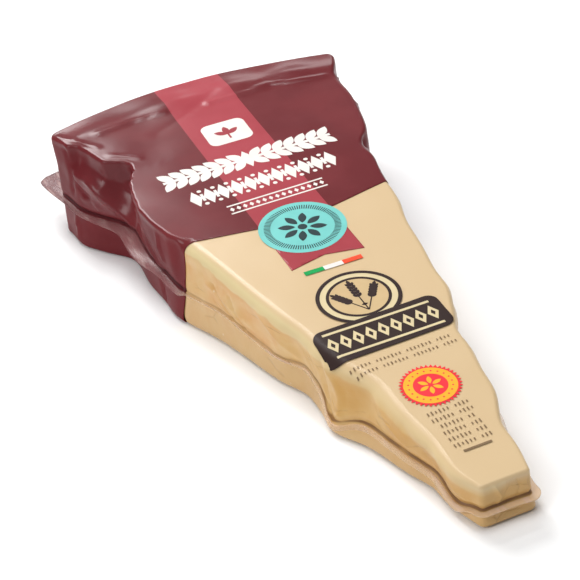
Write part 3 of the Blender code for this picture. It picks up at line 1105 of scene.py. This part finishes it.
LEAF_ROW = 3.26
LOZENGE_ROW = 2.25
LOZENGE_PITCH = 0.34
BRAID_ROW = 1.44
frieze = bar((0, LEAF_ROW), 4.3, 0.10)
for step in range(-7, 8):
    if step:
        away = math.copysign(1, step)
        stem = (step * 0.295 - away * 0.20, LEAF_ROW)
        for tilt in (0.86, -0.86):
            angle = tilt if away > 0 else math.pi - tilt
            frieze += leaf(stem, 0.50, 0.25, angle)
frieze += lozenge((0, LEAF_ROW), 0.36, 0.76)
for step in range(-5, 6):
    frieze += lozenge((step * LOZENGE_PITCH, LOZENGE_ROW), 0.30, 0.68)
for step in range(-5, 5):
    middle_x = (step + 0.5) * LOZENGE_PITCH
    frieze += bar((middle_x, LOZENGE_ROW), 0.07, 0.30)
    for rise in (-0.28, 0.28):
        frieze += disc((middle_x, LOZENGE_ROW + rise), 0.055, 12)
frieze += bar((0, 1.60), 2.4, 0.05) + bar((0, 1.28), 2.4, 0.05)
for step in range(-7, 8):
    frieze += lozenge((step * 0.16, BRAID_ROW), 0.11, 0.17)
lay_ink("white_ornament", [(white_ink, frieze)])

ORIGIN = (0, 0)
ticks = []
for angle in turns(96):
    ticks += bar(point_round(ORIGIN, 0.80, angle), 0.15, 0.024, angle)
rosette = disc(ORIGIN, 0.11, 24)
for angle in turns(8, 0.5):
    rosette += leaf(point_round(ORIGIN, 0.16, angle), 0.40, 0.19, angle)
lay_ink("round_badge", [(turquoise_ink, disc(ORIGIN, 1)), (slate_ink, ticks + rosette)])

STRIP_PART = 0.455
strip_layers = []
for index, finish in enumerate((green_ink, white_ink, orange_ink)):
    middle = (STRIP_PART * (index - 1), -1.668)
    strip_layers.append((finish, bar(middle, STRIP_PART, 0.145)))
lay_ink("small_tricolour", strip_layers)

ROUNDEL = (0.0, -2.96)
sheaf = lozenge((ROUNDEL[0], ROUNDEL[1] - 0.30), 0.16, 0.10)
for lean, reach in ((-0.55, 0.84), (0, 0.98), (0.55, 0.84)):
    root = (ROUNDEL[0], ROUNDEL[1] - 0.52)
    direction = math.pi / 2 - lean
    tip = point_round(root, reach, direction)
    sheaf += bar(((root[0] + tip[0]) / 2, (root[1] + tip[1]) / 2), reach, 0.03, direction)
    for step in range(5):
        stem = point_round(root, reach * (0.52 + 0.105 * step), direction)
        for tilt in (0.62, -0.62):
            sheaf += leaf(stem, 0.16, 0.085, direction + tilt)
    sheaf += leaf(tip, 0.17, 0.085, direction)
lay_ink("wheat_roundel", [
    (cream_ink, disc(ROUNDEL, 0.90)),
    (tan_ink, disc(ROUNDEL, 0.66)),
    (dark_ink, ring(ROUNDEL, 0.92, 0.83) + ring(ROUNDEL, 0.70, 0.63) + sheaf),
])

BANNER_MIDDLE = -4.22
banner = []
for points in rounded_panel(-1.47, 1.40, -0.56, 0.56, 0.24):
    banner.append([(x, BANNER_MIDDLE + y + 0.02 * x) for x, y in points])
banner_marks = []
banner_eyes = []
for step in range(-4, 5):
    middle_x = step * 0.285 - 0.03
    banner_marks += lozenge((middle_x, BANNER_MIDDLE), 0.25, 0.50)
    banner_eyes += lozenge((middle_x, BANNER_MIDDLE), 0.10, 0.20)
for rise in (-0.38, 0.38):
    banner_marks += bar((-0.03, BANNER_MIDDLE + rise), 2.44, 0.07)
banner_layers = [(dark_ink, banner), (cream_ink, banner_marks), (dark_ink, banner_eyes)]
lay_ink("dark_banner", banner_layers, lowest=3, cut_size=0.6)

SEAL = (0.0, -6.27)
SEAL_RADIUS = 0.57
SEAL_TEETH = 40
PETAL_TURN = 0.26
teeth = disc(SEAL, SEAL_RADIUS, SEAL_TEETH)
for angle in turns(SEAL_TEETH):
    teeth += lozenge(point_round(SEAL, SEAL_RADIUS, angle), 0.14, 0.08, angle)
beads = []
for angle in turns(SEAL_TEETH)[1::2]:
    beads += disc(point_round(SEAL, 0.44, angle), 0.022, 8)
petals = []
for angle in turns(6):
    angle += PETAL_TURN
    petals += leaf(point_round(SEAL, 0.05, angle), 0.22, 0.10, angle)
lay_ink("yellow_seal", [
    (red_ink, teeth),
    (yellow_ink, disc(SEAL, 0.54)),
    (red_ink, disc(SEAL, 0.35) + beads),
    (yellow_ink, petals),
])

rows = mark_row((-0.08, -5.06), 2.3, 0.10) + mark_row((-0.02, -5.27), 2.3, 0.10)
for step, length in enumerate((1.05, 1.05, 0.85, 1.0, 1.0, 0.95)):
    rows += mark_row((-0.02, -7.02 - 0.205 * step), length * 0.9, 0.12)
rows += bar((-0.02, -8.25), 0.60, 0.06, 0.012)
lay_ink("fine_rules", [(brown_ink, rows)])


# The welded rim
# Clear film welded to film all round the pack. It stands out beside the rind, where it is widest,
# and is folded down against the cheese along the left cut side. It is slightly milky and creased.

RIM_WIDTH = 1.6
RIM_THICKNESS = 0.16
RIM_HIDDEN = 0.3
RimSwell = namedtuple("RimSwell", "side place extra reach")
RIM_SWELLS = (
    RimSwell("left", 38, 2.8, 12),
    RimSwell("right", 62, -0.6, 16),
    RimSwell("right", -20, -0.5, 60),
    RimSwell("tip", 6, 0.6, 2.5),
)
RIND_TAB = 7.5
RIND_TAB_CORNER = Vector((-2.2, 3.5))
RIND_TAB_REACH = 16
RIND_TAB_FACING = (-0.2, 0.5)
TRIM_START = 20
TRIM_REACH = 20
RIM_DROOP = 0.9
RIM_DROOP_FROM = -88
RIM_DROOP_REACH = 20
RIM_BELOW_WELD = 0.05
RIM_STEPS = 10
FOLD_ANGLE = 68
FOLD_QUICKNESS = 2.2
FOLD_FROM = -95
FOLD_REACH = 6
CRUMPLED_WIDTH = 5
RIM_CRUMPLE = ((0.45, 9.0), (0.06, 3.0))
RIM_DISTANCES = [distance_of(swell.side, swell.place) for swell in RIM_SWELLS]

RIM_PINK = (0.36, 0.165, 0.165, 1)
RIM_PALE = (0.80, 0.580, 0.370, 1)
RIM_MILKY = (0.72, 0.540, 0.500, 1)
RIM_TAB = (0.210, 0.085, 0.088, 1)
STREAK = 4
STREAK_STRETCH = (2.4, 0.35, 2.4)
RIM_PUCKER = 3.0
PRINT_BEHIND = (4, 12)
TAB_FROM = (54, 66)
TIP_REACH = 16


def rim_reach(station):
    """How far the rim reaches from the wall, as a vector in plan."""
    width = RIM_WIDTH * crease_share(station)
    for swell, origin in zip(RIM_SWELLS, RIM_DISTANCES):
        along = signed_distance(station.distance, origin) / swell.reach
        width += swell.extra * math.exp(-along * along)
    from_corner = (station.point.x - RIND_LEFT.x) / RIND_TAB_REACH
    tab = RIND_TAB_CORNER * math.exp(-from_corner * from_corner)
    tab.y += RIND_TAB
    trimmed = 1 - smooth((station.point.x - TRIM_START) / TRIM_REACH)
    low, high = RIND_TAB_FACING
    facing_back = smooth((station.normal.y - low) / (high - low))
    return station.normal * width + tab * trimmed * facing_back


def fold_down(station):
    """1 where the rim is folded down against the cheese, along the left cut side, else 0."""
    if station.side != "left":
        return 0
    return (1 - field_share(station.point)) * smooth((station.place - FOLD_FROM) / FOLD_REACH)


def make_weld_rim():
    """The rim as a thin creased ribbon round the pack."""
    mesh = bmesh.new()
    columns = []
    for station in STATIONS:
        weld = weld_height(station)
        level = weld / top_surface(station.point)
        folded = fold_down(station)
        hidden = RIM_HIDDEN * (1 - folded)
        start = station.point + station.normal * (wall_offset(station, level) - hidden)
        reach = rim_reach(station)
        width = reach.length
        outward = reach.normalized()
        away_from_tip = smooth((station.point.y - RIM_DROOP_FROM) / RIM_DROOP_REACH)
        droop = RIM_DROOP * away_from_tip * max(-station.normal.x, 0) * (1 - folded)
        column = []
        away = 0
        height = weld - RIM_BELOW_WELD
        for step in range(RIM_STEPS + 1):
            share = step / RIM_STEPS
            plan = start + outward * away
            crumple = waves((plan.x, plan.y, 5), RIM_CRUMPLE) * share * min(width / CRUMPLED_WIDTH, 1)
            point_height = height - droop * share ** 1.5 + crumple
            column.append(mesh.verts.new((plan.x, plan.y, point_height)))
            angle = folded * math.radians(FOLD_ANGLE) * smooth(share * FOLD_QUICKNESS)
            away += width / RIM_STEPS * math.cos(angle)
            height -= width / RIM_STEPS * math.sin(angle)
        columns.append(column)
    for step, column in enumerate(columns):
        follow = columns[(step + 1) % len(columns)]
        for edge in range(RIM_STEPS):
            mesh.faces.new((column[edge], column[edge + 1], follow[edge + 1], follow[edge]))
    bmesh.ops.recalc_face_normals(mesh, faces=mesh.faces)
    return mesh


def rim_finish():
    """Clear film, milky where the weld creased it, pink and darker where printed film is behind it."""
    material, shader, place, (x, y, z) = new_finish("creased_clear_film")
    streaks = grain(stretched(place, STREAK_STRETCH), STREAK, 2, 0.4).ease(0.44, 0.72)
    at_tip = 1 - y.ease(TIP_LEFT.y, TIP_LEFT.y + TIP_REACH)
    printed = y.ease(*PRINT_BEHIND)
    tab = y.ease(*TAB_FROM)
    colour = tab.mix(printed.mix(RIM_PALE, RIM_PINK), RIM_TAB)
    set_finish(shader, {
        "Base Color": (streaks * 0.4).mix(colour, RIM_MILKY),
        "Roughness": 0.25,
        "Specular IOR Level": 0.2,
        "Alpha": 0.28 + printed * 0.06 + tab * 0.38 + at_tip * 0.30 + streaks * 0.12,
        "Normal": (grain(place, RIM_PUCKER, 2, 0.6) + streaks * 0.3).bump(0.08),
    })
    return material


weld_rim = make_piece("film_rim", make_weld_rim(), [rim_finish()], "clear_film", "weld_rim")
thicken(weld_rim, RIM_THICKNESS)


# The floor, the lights and the camera
# A plain pale floor in a bright even room, under a wide ceiling light. Soft lamps stand behind the
# pack and at its left, and the camera is where the photograph was taken from.

def softbox(name, size, power, place, aim):
    """An area light, so wide and so high, that looks at a point. All in metres."""
    light = bpy.data.lights.new(name, "AREA")
    light.shape = "RECTANGLE"
    light.size, light.size_y = size
    light.energy = power
    lamp = put_in_scene(name, light)
    lamp.location = place
    lamp.rotation_euler = (Vector(aim) - Vector(place)).to_track_quat("-Z", "Y").to_euler()


FLOOR_SIZE = 4.0
FLOOR_DROP = 0.0002
FLOOR_WHITE = (0.93, 0.93, 0.93, 1)
CEILING_POWER = 1.20
CEILING_SPREAD = 40
CEILING_TILT = (-5, 2)
ROOM_LIGHT = 0.25
floor_data = bpy.data.meshes.new("pale_floor")
floor_mesh = bmesh.new()
bmesh.ops.create_grid(floor_mesh, x_segments=1, y_segments=1, size=FLOOR_SIZE / 2)
floor_mesh.to_mesh(floor_data)
floor_mesh.free()
floor_material, floor_shader = new_finish("pale_floor")[:2]
set_finish(floor_shader, {"Base Color": FLOOR_WHITE, "Roughness": 0.9})
floor_data.materials.append(floor_material)
floor = put_in_scene("pale_floor", floor_data)
floor.location = (0, 0, -FLOOR_DROP)

softbox("back_left_softbox", (0.42, 0.42), 7.7, (-0.04, 0.83, 0.72), (0, 0, 0.02))
softbox("low_back_strip", (0.30, 0.12), 0.55, (0.42, 0.87, 0.42), (0, 0, 0.02))
softbox("high_back_lamp", (0.08, 0.08), 0.9, (0.12, 0.45, 0.85), (0, 0, 0.02))
softbox("left_softbox", (0.36, 0.36), 2.6, (-0.66, -0.20, 0.56), (0, 0, 0.01))

ceiling_data = bpy.data.lights.new("wide_ceiling_light", "SUN")
ceiling_data.energy = CEILING_POWER
ceiling_data.angle = math.radians(CEILING_SPREAD)
ceiling = put_in_scene("wide_ceiling_light", ceiling_data)
ceiling.rotation_euler = (math.radians(CEILING_TILT[0]), math.radians(CEILING_TILT[1]), 0)

world = bpy.data.worlds.new("bright_room")
world.use_nodes = True
backdrop = world.node_tree.nodes["Background"]
backdrop.inputs["Color"].default_value = (1, 1, 1, 1)
backdrop.inputs["Strength"].default_value = ROOM_LIGHT
bpy.context.scene.world = world
bpy.context.scene.view_settings.view_transform = "Standard"

CAMERA_PLACE = (Vector((-116.9, -334.9, 215.2)) + BADGE) * MM
CAMERA_RIGHT = Vector((0.91445, -0.38425, -0.12701))
CAMERA_UP = Vector((0.30019, 0.43355, 0.84966))
CAMERA_LENS = 106.76
CAMERA_FRAME = 36
camera_data = bpy.data.cameras.new("camera")
camera_data.lens = CAMERA_LENS
camera_data.sensor_width = CAMERA_FRAME
camera_data.clip_start = 0.01
camera = put_in_scene("camera", camera_data)
camera_turn = Matrix((CAMERA_RIGHT, CAMERA_UP, CAMERA_RIGHT.cross(CAMERA_UP))).transposed()
camera.matrix_world = Matrix.Translation(CAMERA_PLACE) @ camera_turn.to_4x4()
bpy.context.scene.camera = camera
